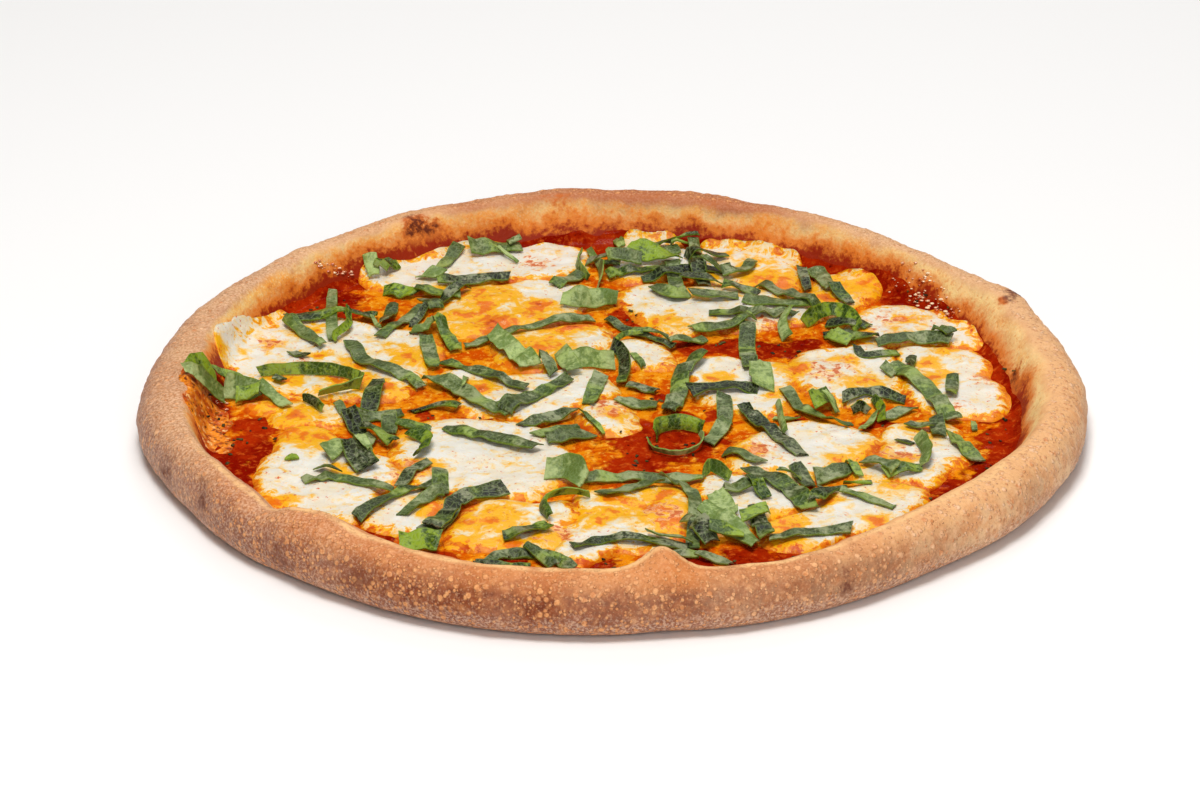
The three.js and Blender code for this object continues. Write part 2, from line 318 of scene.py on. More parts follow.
def spots_of(material, size, detail=3.0, roughness=0.55, distortion=0.0):
    """A noise pattern on the piece's own coordinates, with patches of about this size in millimetres."""
    inputs = {
        "Vector": own_place(material), "Scale": 1 / (size * MM), "Detail": detail,
        "Roughness": roughness, "Distortion": distortion,
    }
    return put(material.node_tree, "ShaderNodeTexNoise", inputs).outputs["Fac"]


def attribute(material, name):
    return put(material.node_tree, "ShaderNodeAttribute", attribute_name=name).outputs["Fac"]


def between(value, low, high):
    """0 below low and 1 above high, with a soft step between them."""
    inputs = {"Value": value, "From Min": low, "From Max": high}
    made = put(value.id_data, "ShaderNodeMapRange", inputs, interpolation_type="SMOOTHSTEP")
    return made.outputs["Result"]


def combined(first, second, operation):
    return put(first.id_data, "ShaderNodeMath", {0: first, 1: second}, operation=operation).outputs[0]


def sum_of(first, second):
    return combined(first, second, "ADD")


def times(first, second):
    return combined(first, second, "MULTIPLY")


def larger_of(first, second):
    return combined(first, second, "MAXIMUM")


def tint(share, base, over):
    """One colour laid over another by a share from 0 to 1. Plain colours are in screen values."""
    base, over = [colour(*value) if isinstance(value, tuple) else value for value in (base, over)]
    inputs = {"Factor": share, 6: base, 7: over}
    return put(share.id_data, "ShaderNodeMix", inputs, data_type="RGBA").outputs[2]


def coated(body, *coats):
    """Lays coats over a body one by one: each a value, its two limits, a colour and any further shares."""
    for value, low, high, over, *shares in coats:
        covered = between(value, low, high)
        for share in shares:
            covered = times(covered, share)
        body = tint(covered, body, over)
    return body


def bump(height, depth, under=None):
    """Relief of the given depth in millimetres, on top of any relief under it."""
    inputs = {"Height": height, "Distance": depth * MM, "Strength": 1.0}
    if under is not None:
        inputs["Normal"] = under
    return put(height.id_data, "ShaderNodeBump", inputs).outputs["Normal"]


def cover(material, body, relief=None):
    """Gives a material its colour and its relief, and gives it back."""
    for socket, output in (("Base Color", body), ("Normal", relief)):
        if output is not None:
            material.node_tree.links.new(output, shader_of(material).inputs[socket])
    return material


def pimples(material, spacing):
    """Round specks of different sizes, 1 in their middles, with one in each patch of this spacing."""
    tree = material.node_tree
    inputs = {"Vector": own_place(material), "Scale": 1 / (spacing * MM)}
    cells = put(tree, "ShaderNodeTexVoronoi", inputs).outputs
    size = put(tree, "ShaderNodeSeparateColor", {"Color": cells["Color"]}).outputs["Red"]
    reach = combined(sum_of(times(size, 0.3), 0.2), cells["Distance"], "SUBTRACT")
    return between(reach, 0.0, 0.2)


def crust_finish():
    crust = new_finish("baked_crust", 0.55, 0.2)
    place = put(crust.node_tree, "ShaderNodeSeparateXYZ", {0: own_place(crust)})
    east, north, up = [place.outputs[axis] for axis in "XYZ"]
    broad, mid = spots_of(crust, 26, 3), spots_of(crust, 8, 4, 0.6)
    fine, grain = spots_of(crust, 2.2, 4, 0.65), spots_of(crust, 0.95, 3, 0.65)
    baked, share, blister = [attribute(crust, name) for name in ("baked", "share", "blister")]
    level = sum_of(up, times(mid, 0.008))
    # The outside: light where it is least baked, deep brown where it faced the fire, more golden on top.
    left = tint(between(mid, 0.35, 0.65), (210, 148, 114), (240, 190, 154))
    right = tint(between(mid, 0.35, 0.65), (236, 168, 112), (255, 210, 158))
    light = tint(between(east, -0.05, 0.12), left, right)
    deep = tint(between(fine, 0.35, 0.65), (112, 48, 22), (152, 78, 40))
    body = tint(sum_of(baked, times(mid, 0.3)), light, deep)
    near_crown = tint(between(baked, 0.2, 0.9), (240, 182, 124), (212, 126, 64))
    far_crown = tint(between(baked, 0.2, 0.9), (238, 184, 130), (192, 110, 60))
    body = coated(body, (level, 0.019, 0.0275, tint(between(north, -0.02, 0.08), near_crown, far_crown)))
    # Blisters and specks of two sizes, grainy skin, and flour rubbed into the foot of the rim.
    specks = larger_of(pimples(crust, 1.7), pimples(crust, 3.0))
    outside = between(share, 0.2, 0.0)
    spotted = times(times(larger_of(times(blister, 0.6), specks), outside), between(mid, 0.05, 0.55))
    spot_colour = tint(between(baked, 0.1, 0.9), (250, 204, 162), (246, 172, 108))
    spot_colour = coated(spot_colour, (fine, 0.6, 0.4, (218, 140, 86)))
    flour = larger_of(between(level, 0.016, 0.009), attribute(crust, "floured"))
    dusty = tint(between(grain, 0.42, 0.6), (152, 100, 76), (220, 186, 164))
    body = tint(times(flour, 0.65), body, dusty)
    body = tint(times(spotted, 0.9), body, spot_colour)
    # Grainy skin: pale specks, partly flour and partly painted highlights, and dark specks, partly painted
    # shade in its pits.
    skin_specks_and_sheen = times(outside, 0.25)
    charred = times(attribute(crust, "toast"), sum_of(times(sum_of(fine, mid), 3.6), -2.6))
    body = coated(
        body,
        (grain, 0.52, 0.66, (252, 204, 156), skin_specks_and_sheen),
        (grain, 0.45, 0.34, (150, 82, 48), skin_specks_and_sheen),
        (charred, 0.2, 0.9, (124, 70, 48)),
    )
    # The inner slope: golden and smooth, with orange patches and painted light on its east, and stained by
    # the sauce lower down.
    slope = coated(
        tint(between(mid, 0.36, 0.64), (255, 220, 148), (255, 198, 106)),
        (broad, 0.46, 0.7, (250, 166, 72)),
        # Painted light: the eastern side of the slope is made lighter, as if more light fell on it.
        (east, 0.07, 0.15, (255, 222, 164), between(mid, 0.3, 0.6), 0.6),
        (grain, 0.5, 0.64, (255, 226, 166), 0.6),
        (fine, 0.46, 0.34, (230, 140, 58), 0.6),
    )
    turned = sum_of(sum_of(share, times(sum_of(mid, -0.5), 0.3)), times(baked, -0.12))
    ragged = times(sum_of(sum_of(mid, fine), -1.0), 0.42)
    soaked = sum_of(attribute(crust, "soaked"), ragged)
    # A painted highlight along the inner edge of the front crest, where the dough is also a little paler.
    painted_lip_highlight = times(between(share, 0.16, 0.06), between(north, -0.04, -0.1))
    on_slope = between(share, 0.0, 0.2)
    body = coated(
        body,
        (turned, 0.1, 0.38, slope),
        (soaked, 0.3, 0.58, (228, 116, 20), 0.9),
        (soaked, 0.54, 0.7, (154, 38, 2)),
        (share, -0.16, 0.0, (252, 200, 138), painted_lip_highlight, between(mid, 0.2, 0.7)),
        (charred, 0.1, 0.5, (206, 108, 40), on_slope),
        (charred, 0.4, 1.0, (108, 44, 18), on_slope),
    )
    relief = bump(times(specks, outside), 0.32, bump(fine, 0.45))
    return cover(crust, body, bump(grain, 0.12, relief))


def new_object(name, data):
    made = bpy.data.objects.new(name, data)
    bpy.context.scene.collection.objects.link(made)
    return made


def make_piece(bm, name, material, nodes):
    """Makes a piece of a mesh modelled in millimetres, and lets it stand for its nodes of the frame."""
    bmesh.ops.scale(bm, vec=(MM, MM, MM), verts=bm.verts)
    mesh = bpy.data.meshes.new(name)
    for face in bm.faces:
        face.smooth = True
    bm.to_mesh(mesh)
    bm.free()
    mesh.materials.append(material)
    piece = new_object(name, mesh)
    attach(piece, "root")
    if nodes:
        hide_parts(*nodes)
    return piece


crust_piece = make_piece(crust_bm, "baked_dough", crust_finish(), ["crust"])

# ---- Tomato sauce ----
# Crushed tomatoes ladled on and spread out to the rim, where they climb the foot of its slope. They bake
# to a wet, pulpy skin that is deep red where it is thick and orange where oil and milk have run into it.
SAUCE_TOP = 6.4
SAUCE_CELLS = 270
SAUCE_EDGE_SHARE = 0.68
SAUCE_CLIMBS = [(95, 0.08, 40), (45, 0.08, 22), (145, 0.06, 20), (178, 0.1, 14), (215, 0.05, 20)]
SAUCE_TAPER = 0.3
EDGE_WAVES = [(0.12, 22, 9.4), (0.06, 7, 3.3)]
SAUCE_PULP = [(0.5, 8, 2.5), (0.34, 3.6, 5.5), (0.16, 1.9, 1.5)]
SWELL_LIFT = 1.5
TUCK = 0.6
PATCH_FRAY = 6.0
PATCH_RAGGEDNESS = 0.35
PATCH_LIMIT = 6

# Places where the sauce stays deep red, each a middle and a radius; beyond RED_BORDER it is red all round.
RED_WINDOWS = [
    (-115, 95, 14), (-122, 85, 8), (-90, 140, 10), (-105, 85, 6), (8, 85, 9), (12, 72, 8), (18, 60, 7),
    (3, 100, 7), (45, 52, 8), (60, 50, 9), (72, 48, 8), (32, 53, 6), (10, -30, 16), (30, -35, 12),
    (12, -48, 12), (25, -15, 8), (38, -8, 5), (5, -55, 10), (17, 5, 5), (-135, -40, 14), (-125, -55, 10),
    (-130, -20, 10), (-105, -10, 5), (-70, -10, 5), (-50, -12, 6), (-80, -108, 8), (-62, -125, 8),
    (-35, -130, 7), (-3, -130, 7), (30, -128, 8), (50, -130, 10), (65, -122, 9), (122, -70, 12),
    (112, -82, 6), (145, -10, 8), (142, -30, 10), (135, -55, 8), (148, 20, 6), (105, 115, 10),
    (115, 105, 8), (125, 90, 8), (85, 130, 10), (70, 147, 8), (133, 75, 6), (70, -15, 5), (98, -18, 5),
]
RED_BORDER = 147


def disc_of(cells):
    """A grid bent to a disc of radius 1 at height 0, with a skirt that hangs from its edge to height -1."""
    bm = bmesh.new()
    bmesh.ops.create_grid(bm, x_segments=cells, y_segments=cells, size=1)
    for vert in bm.verts:
        u, v = vert.co.x, vert.co.y
        vert.co = Vector((u * math.sqrt(1 - v * v / 2), v * math.sqrt(1 - u * u / 2), 0))
    edge_loop = [edge for edge in bm.edges if edge.is_boundary]
    skirt = bmesh.ops.extrude_edge_only(bm, edges=edge_loop)["geom"]
    skirt_verts = [item for item in skirt if isinstance(item, bmesh.types.BMVert)]
    bmesh.ops.translate(bm, vec=(0, 0, -1), verts=skirt_verts)
    return bm


def close_disc(bm):
    """Shuts the open underside of a disc below its skirt."""
    bmesh.ops.contextual_create(bm, geom=[edge for edge in bm.edges if edge.is_boundary])
    bmesh.ops.recalc_face_normals(bm, faces=bm.faces)


@functools.cache
def sauce_edge(bearing):
    """How far up the slope the sauce reaches, as a share of the slope from the crest."""
    around = Vector((math.cos(math.radians(bearing)), math.sin(math.radians(bearing)), 0)) * 160
    return SAUCE_EDGE_SHARE - bulge(SAUCE_CLIMBS, bearing) + waves(EDGE_WAVES, around)


def sauce_height(place):
    """The smooth top of the sauce: level over the floor, thinning out where it climbs the slope."""
    bearing = bearing_of(place)
    share = slope_share(bearing, math.hypot(place.x, place.y))
    edge = sauce_edge(bearing)
    dough = slope_height(bearing, share)
    if share < LEVEL_SHARE:
        swell = swell_at(Vector((place.x, place.y, dough)))
        dough += max(SWELL_LIFT * swell, swell) * smooth_step(LEVEL_SHARE, RISEN_SHARE, share)
    return dough + (SAUCE_TOP - FLOOR) * smooth_step(edge, edge + SAUCE_TAPER, share)


def patch_at(patches, place):
    """How deep a place lies in frayed round patches, each a middle and a radius, from 0 outside to 1."""
    total = 0
    place = place + PATCH_FRAY * Vector((wave(place, 11, 3.1), wave(place, 11, 6.4), 0))
    for x, y, size in patches:
        apart = ((place.x - x) ** 2 + (place.y - y) ** 2) / size ** 2
        if apart < PATCH_LIMIT:
            total = max(total, math.exp(-apart * (1 + PATCH_RAGGEDNESS * wave(place, 7, x))))
    return total


sauce_bm = disc_of(SAUCE_CELLS)
deep_layer = sauce_bm.verts.layers.float.new("deep")
for vert in sauce_bm.verts:
    flat, is_skirt = Vector((vert.co.x, vert.co.y, 0)), vert.co.z < 0
    share = flat.length
    bearing = bearing_of(flat)
    crest = crest_radius(bearing)
    place = flat * (crest + (foot_radius(bearing) - crest) * sauce_edge(bearing))
    radius = place.length
    if is_skirt:
        place.z = FLOOR - TUCK
    else:
        top = sauce_height(place) + waves(SAUCE_PULP, place) * smooth_step(1.0, 0.95, share)
        place.z = top - TUCK * smooth_step(0.985, 1.0, share)
    vert.co = place
    border = smooth_step(-9, 4, radius - RED_BORDER + 6 * wave(place, 16, 8.8))
    vert[deep_layer] = max(patch_at(RED_WINDOWS, place), border)
close_disc(sauce_bm)


def oily_sauce(material):
    """The colour of sauce where butterfat has run into it: orange, with yellow and red in it."""
    broad, fine = spots_of(material, 8, 4, 0.6, 0.5), spots_of(material, 2.4, 4, 0.65)
    body = tint(between(broad, 0.4, 0.6), (204, 78, 2), (234, 140, 14))
    return coated(body, (fine, 0.52, 0.7, (244, 180, 60)), (fine, 0.42, 0.3, (172, 44, 2)))


def sauce_finish():
    sauce = new_finish("cooked_tomato_sauce", 0.4, 0.0)
    shader_of(sauce).inputs["Coat Weight"].default_value = 0.04
    shader_of(sauce).inputs["Coat Roughness"].default_value = 0.1
    broad, mid = spots_of(sauce, 14, 4, 0.6), spots_of(sauce, 6, 4, 0.6)
    fine = spots_of(sauce, 2.6, 4, 0.65)
    red = tint(between(broad, 0.38, 0.62), (130, 14, 1), (168, 40, 4))
    red = coated(red, (fine, 0.5, 0.72, (200, 84, 24)), (fine, 0.4, 0.28, (96, 10, 1)))
    deep = sum_of(attribute(sauce, "deep"), times(sum_of(mid, -0.5), 1.3))
    body = tint(between(deep, 0.22, 0.5), oily_sauce(sauce), red)
    return cover(sauce, body, bump(spots_of(sauce, 1.1, 3), 0.36, bump(fine, 0.7)))


sauce_piece = make_piece(sauce_bm, "spread_sauce", sauce_finish(), ["tomato_sauce"])

# ---- Mozzarella ----
# Fresh mozzarella torn and dropped on the sauce. Each piece melts to a low pool that thins out to
# nothing, creamy white, with yellow butterfat in its hollows and orange oil where sauce has bled into it.
POOL_GRID = 0.95
POOL_SINK = 0.3
POOL_SPREAD = 2.2
POOL_BODY = 2.2
POOL_LOBES = [(1.8, 11, 2.2), (0.9, 5, 6.6)]
POOL_LUMPS = [(0.8, 15, 1.7), (0.45, 6, 3.1), (0.16, 2.5, 4.4)]
POOL_LAYERS = ("butter", "melt", "marbled", "film")
POOL_EDGE = 6.5
POOL_EDGE_RANGE = 4
POOL_GAP = 0.05
LOBE_DEPTH = 14
STEEP_CALM = 0.7
FILM_CLIMB = 0.6
CLIMBING_BODY = 0.55

# Where butterfat has gathered, where orange oil has run in, and where the skin of the cheese has toasted,
# wrinkled and let the sauce through.
YELLOW_PATCHES = [
    (-78, 40, 11), (-118, 63, 8), (-50, 97, 12), (-60, 78, 8), (-28, 50, 15), (60, 115, 14),
    (98, 105, 11), (22, 73, 8), (12, 113, 5), (45, 142, 4), (92, 35, 5), (95, 15, 8), (120, 35, 6),
    (-115, -30, 12), (-98, -60, 6), (-40, -100, 12), (-50, -115, 8), (-25, -115, 7), (15, -90, 14),
    (40, -120, 10), (62, -103, 8), (88, -55, 8), (-47, 97, 8), (-107, -33, 10), (36, 118, 8), (88, 86, 8),
    (-55, -100, 8), (0, -95, 8), (128, 45, 5), (75, 100, 8), (-100, 30, 6), (-125, 20, 8), (60, 5, 6),
    (-15, -80, 6), (-128, -4, 10), (-112, -10, 8), (-120, -84, 6), (-30, 80, 10), (-45, 60, 6),
    (-20, 40, 8), (-5, -100, 8), (60, -115, 8), (105, -50, 6),
]
ORANGE_PATCHES = [
    (-131, 51, 4), (-104, 17, 7), (-113, 39, 4), (-45, 70, 14), (-30, 85, 9), (-60, 40, 8), (-75, -25, 8),
    (-145, -30, 9), (-15, -75, 8), (0, -82, 7), (45, -30, 6), (45, -45, 7), (95, -45, 8), (115, -25, 8),
    (95, -105, 6), (85, 95, 7), (70, 110, 7), (70, 30, 7), (120, 20, 7), (-50, 10, 7), (0, -12, 6),
    (115, 75, 6), (50, -45, 6), (-62, 100, 8), (-95, 15, 7), (-60, -90, 8), (20, -102, 7), (-85, 10, 6),
    (110, 55, 6), (-35, 30, 7), (40, 20, 5), (95, 60, 6), (-25, 68, 8), (100, -75, 6), (-70, -60, 6),
    (-10, 150, 5), (-140, -6, 9), (-118, -14, 8), (-152, -14, 10), (-148, -34, 9), (-122, -86, 6),
    (-155, 30, 5), (-15, 70, 8), (-50, 85, 7), (20, -80, 6), (-35, -118, 7), (75, -85, 6), (35, 100, 5),
]
MARBLED_PATCHES = [
    (55, -42, 9), (82, 26, 10), (0, -5, 10), (108, 72, 12), (143, 18, 6), (-131, 51, 6), (-116, 30, 6),
    (-75, -62, 7), (-30, 130, 8), (20, -95, 8), (105, -45, 8), (60, 70, 7), (-20, -110, 7), (128, -4, 6),
]

# Where a pool reaches further than its node, or less far, as bulges by the direction from its middle.
POOL_CLIMBS = {
    "mozzarella_west": [(195, 2, 18)],
    "mozzarella_northwest": [(42, -7, 14)],
    "mozzarella_west_strip": [(180, -14, 40)],
    "mozzarella_east": [(15, -4, 35)],
    "mozzarella_west_south": [(215, 3, 30)],
}


def node_outline(node):
    """The middle of a pool of the frame and its reach in each direction, in order, in millimetres."""
    copy = bmesh.new()
    copy.from_mesh(node.data)
    bmesh.ops.scale(copy, vec=(1 / MM, 1 / MM, 1 / MM), verts=copy.verts)
    bmesh.ops.remove_doubles(copy, verts=copy.verts, dist=0.01)
    low = min(vert.co.z for vert in copy.verts)
    middle = max((v for v in copy.verts if v.co.z < low + 0.01), key=lambda v: len(v.link_edges)).co.copy()
    rim = {}
    for vert in copy.verts:
        offset = vert.co - middle
        turn = round(math.degrees(math.atan2(offset.y, offset.x)) % 360, 0) % 360
        reach = math.hypot(offset.x, offset.y)
        if reach > 1:
            rim[turn] = max(reach, rim.get(turn, 0))
    copy.free()
    return middle, sorted(rim.items())


def reach_at(rim, turn):
    """The outline's reach in one direction, on a smooth curve through its corners."""
    count = len(rim)
    step = 360 / count
    index = int(turn // step)
    share = turn / step - index
    before, here, there, after = [rim[(index + shift) % count][1] for shift in (-1, 0, 1, 2)]
    slope_here, slope_there = (there - before) / 2, (after - here) / 2
    return (
        here * (2 * share ** 3 - 3 * share ** 2 + 1) + slope_here * (share ** 3 - 2 * share ** 2 + share)
        + there * (3 * share ** 2 - 2 * share ** 3) + slope_there * (share ** 3 - share ** 2)
    )


def melted_pool(middle, rim, climbs=(), thickness=POOL_BODY):
    """A pool round its middle, with the reaches of its outline and of its climbs."""
    widest = max(reach for _, reach in rim)
    bm = disc_of(max(12, int(2 * widest / POOL_GRID)))
    layers = [bm.verts.layers.float.new(name) for name in POOL_LAYERS]
    for vert in bm.verts:
        flat, is_skirt = Vector((vert.co.x, vert.co.y, 0)), vert.co.z < 0
        share = min(flat.length, 1)
        turn = math.degrees(math.atan2(flat.y, flat.x)) % 360 if share > 0 else 0
        reach = reach_at(rim, turn) + POOL_SPREAD + bulge(climbs, turn)
        place = Vector((middle.x, middle.y, 0)) + flat * reach
        inside = (1 - share) * reach
        calm = 1 - STEEP_CALM * smooth_step(SAUCE_TOP + 1, SAUCE_TOP + 6, sauce_height(place))
        place += flat * waves(POOL_LOBES, place) * calm * smooth_step(LOBE_DEPTH, 0, inside)
        ground = sauce_height(place)
        edge_share = min(inside / (POOL_EDGE + POOL_EDGE_RANGE * wave(place, 20, 5.7)), 1)
        body = calm * (thickness + waves(POOL_LUMPS, place)) * edge_share * (2 - edge_share)
        climbing = smooth_step(SAUCE_TOP + 1, SAUCE_TOP + 4, ground)
        body += CLIMBING_BODY * climbing * smooth_step(0, 2.5, inside)
        place.z = FLOOR + POOL_SINK if is_skirt else ground + POOL_GAP + body
        vert.co = place
        stains = [patch_at(rows, place) for rows in (YELLOW_PATCHES, ORANGE_PATCHES, MARBLED_PATCHES)]
        from_edge = inside + FILM_CLIMB * max(ground - SAUCE_TOP, 0)
        for layer, value in zip(layers, stains + [from_edge]):
            vert[layer] = value
    close_disc(bm)
    return bm


def cheese_finish():
    cheese = new_finish("melted_mozzarella", 0.35, 0.22)
    broad, fine = spots_of(cheese, 12, 4, 0.6, 0.4), spots_of(cheese, 5, 5, 0.64, 0.8)
    speck, blotch = spots_of(cheese, 1.7, 4, 0.6), spots_of(cheese, 10, 5, 0.62, 1.4)
    wrinkle = spots_of(cheese, 3.0, 4, 0.6, 0.6)
    body = tint(between(broad, 0.35, 0.65), (232, 228, 217), (232, 220, 196))
    # The more oil has run into a spot the deeper its colour: cream, yellow, orange and at last red.
    uneven = sum_of(sum_of(fine, blotch), -0.97)
    patches = larger_of(times(attribute(cheese, "butter"), 0.62), times(attribute(cheese, "melt"), 0.82))
    ragged = sum_of(attribute(cheese, "film"), times(uneven, 18))
    oil = sum_of(patches, times(uneven, 1.15))
    oil = larger_of(oil, times(between(ragged, 7.0, 0.5), 0.8))
    marbled = sum_of(times(sum_of(attribute(cheese, "marbled"), -0.5), 0.22), wrinkle)
    body = coated(
        body,
        (oil, 0.06, 0.2, (238, 214, 164)),
        (oil, 0.18, 0.4, (245, 178, 16)),
        (oil, 0.52, 0.74, (230, 116, 6)),
        (oil, 0.86, 1.1, (186, 58, 2)),
        (speck, 0.61, 0.68, (212, 98, 32), between(broad, 0.45, 0.56)),
        (marbled, 0.5, 0.58, (240, 186, 132), 0.7),
        (marbled, 0.58, 0.65, (204, 88, 22), 0.9),
        (ragged, 2.6, 0.4, oily_sauce(cheese)),
    )
    shader = shader_of(cheese)
    shader.inputs["Subsurface Weight"].default_value = 0.15
    shader.inputs["Subsurface Radius"].default_value = (1.0, 0.7, 0.4)
    shader.inputs["Subsurface Scale"].default_value = 0.0012
    return cover(cheese, body, bump(speck, 0.2, bump(fine, 0.5)))


cheese = cheese_finish()
pool_pieces = []
for name, node in sorted(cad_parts.items()):
    if name.startswith("mozzarella_"):
        piece_name = name.replace("mozzarella_", "melted_pool_")
        pool_bm = melted_pool(*node_outline(node), POOL_CLIMBS.get(name, ()))
        pool_pieces.append(make_piece(pool_bm, piece_name, cheese, [name]))


def move_into(whole, part):
    """Joins one mesh to another, which keeps its own layers."""
    mesh = bpy.data.meshes.new("one_part")
    part.to_mesh(mesh)
    part.free()
    whole.from_mesh(mesh)
    bpy.data.meshes.remove(mesh)


# Cheese that ran up the western rim and baked on there: each patch has its middle, its half width, its
# half length and the direction in which it lies.
FRINGES = [
    ((-155, -8), 4, 7, 95), ((-150, -14), 5, 8, 80), ((-152, -24), 4, 7, 105), ((-146, -32), 4, 9, 112),
    ((-147, -20), 4, 6, 60), ((-120, -85), 6, 8, 60),
]
FRINGE_LUMPS = [(1.0, 4.0), (0.7, 2.2)]
FRINGE_STEP = 15
FRINGE_BODY = 0.5
fringe_bm = bmesh.new()
for (x, y), half_width, half_length, lie in FRINGES:
    outline = []
    for turn in range(0, 360, FRINGE_STEP):
        lengthways, sideways = math.cos(math.radians(turn - lie)), math.sin(math.radians(turn - lie))
        outline.append((turn, 1 / math.hypot(lengthways / half_length, sideways / half_width)))
    patch_bm = melted_pool(Vector((x, y, 0)), outline, thickness=FRINGE_BODY)
    for vert in patch_bm.verts:
        if vert.co.z > sauce_height(vert.co):
            vert.co.z += sum(height * max(wave(vert.co, size, 7.1), -0.2) for height, size in FRINGE_LUMPS)
    move_into(fringe_bm, patch_bm)


def fringe_finish():
    fringe = new_finish("baked_cheese", 0.35, 0.12)
    lumps, fine = spots_of(fringe, 5, 4, 0.65), spots_of(fringe, 2.2, 4, 0.65)
    body = tint(between(lumps, 0.4, 0.6), (190, 78, 8), (240, 140, 28))
    # Cream flecks of cheese, partly painted highlights, and dark brown flecks, partly painted shade in the
    # hollows of the baked cheese.
    body = coated(body, (fine, 0.56, 0.68, (250, 204, 130)), (fine, 0.46, 0.36, (112, 40, 8)))
    return cover(fringe, body, bump(fine, 0.5))


pool_pieces.append(make_piece(fringe_bm, "baked_on_fringe", fringe_finish(), []))

# ---- Basil ----
# Fresh leaves, rolled up and cut across into ribbons, dropped on after baking. A ribbon keeps the creases
# of the roll, shows its dark top or its paler underside, and sags over whatever it lands on.
LEAF = 0.55
STATION = 1.2
LEAF_LANES = 6
SETTLING = 30
SAG = 0.012
CELL = 2.2
CREASE_SPACING = 4.2
CRISP_CREASE = 0.4
CREASE_DEPTH = 0.5
CREASE_DEPTH_BY_WIDTH = 0.26
ARCH_BY_WIDTH = 0.2
ROLL_BY_WIDTH = 0.18
CRINKLE = 0.16
LEAST_PINCH = 0.72
PINCH_RANGE = 0.28
SLANT_RANGE = 1.1
PALE_RANGE = 0.26
STEM_PARTS = 60
LANE_SHARES = (-0.45, 0, 0.45)
LEAF_GAP = 0.3
STANDING_LEAN = 40
LEAF_LAYERS = ("along", "across", "pale", "painted_glow_share", "facet_shade_and_sheen", "cut")

# Each ribbon is its width, its side up (d dark, m mid, p pale or b bright, which glows with painted light
# through the leaf), the x and y of each place along its middle line and, where it doesn't lie flat, its
# lean in degrees at both ends in brackets. RIBBONS are those of the frame, in its order.
RIBBONS = [
    (4.5, "m", -111, 103, -110, 80, -108, 52, (25, 0)), (6, "d", -127, 71, -98, 76, -95, 81, (0, 10)),
    (5, "m", -127, 70, -111, 46, (0, 15)), (6, "m", -101, 50, -94, 32, -80, 20, -72, 12),
    (5, "d", -70, 109, -41, 115, (15, 0)), (4.5, "m", -75, 88, -90, 56),
    (4.5, "m", -57, 50, -35, 64, -8, 77, (0, 20)), (5.5, "m", -64, 36, -32, 8, (0, 10)),
    (7, "m", -69, 19, -58, 10, -49, -6, -37, -12), (6.5, "m", -16, 18, -40, -13),
    (8, "p", -46, 56, -31, 28, (25, 10)), (5, "d", 0, 48, 5, 35, 4, 15, (50, 20)),
    (7, "m", 35, 37, 27, 22, 25, 5, 21, -10, (20, 0)), (6.5, "m", 53, 68, 52, 45, 53, 25),
    (6, "d", 49, -8, 57, -25, 69, -50), (6, "d", -2, 118, 15, 121, 48, 123), (6, "m", 24, 130, 26, 95),
    (7, "m", 52, 90, 80, 86), (6, "m", 59, 108, 81, 82), (7, "m", 38, 79, 72, 78),
    (7, "m", 82, 122, 88, 100, (10, 0)), (4.5, "d", -2, 77, 10, 62, 24, 48, (0, 20)),
    (7, "m", 107, 30, 118, 8, 123, -8, 127, -18), (6, "m", 102, 48, 116, 53, 131, 51, (15, 20)),
    (5, "m", 65, 9, 70, -5, 78, -15, 88, -24, (10, 0)), (5, "m", -10, -66, 12, -64, 33, -68, (20, 0)),
    (7, "m", 48, -61, 62, -75, 70, -95, (0, 15)), (5.5, "m", 55, -116, 84, -108),
    (6.5, "m", -61, -26, -27, -46), (7, "d", -88, 14, -91, -10, (15, 0)),
    (6, "d", -66, -110, -58, -98, -56, -88, -50, -82, -38, -80, (0, 20)),
    (5, "d", -90, -100, -83, -89, -72, -78, -62, -70), (5, "m", -111, -70, -98, -68, -78, -78),
]
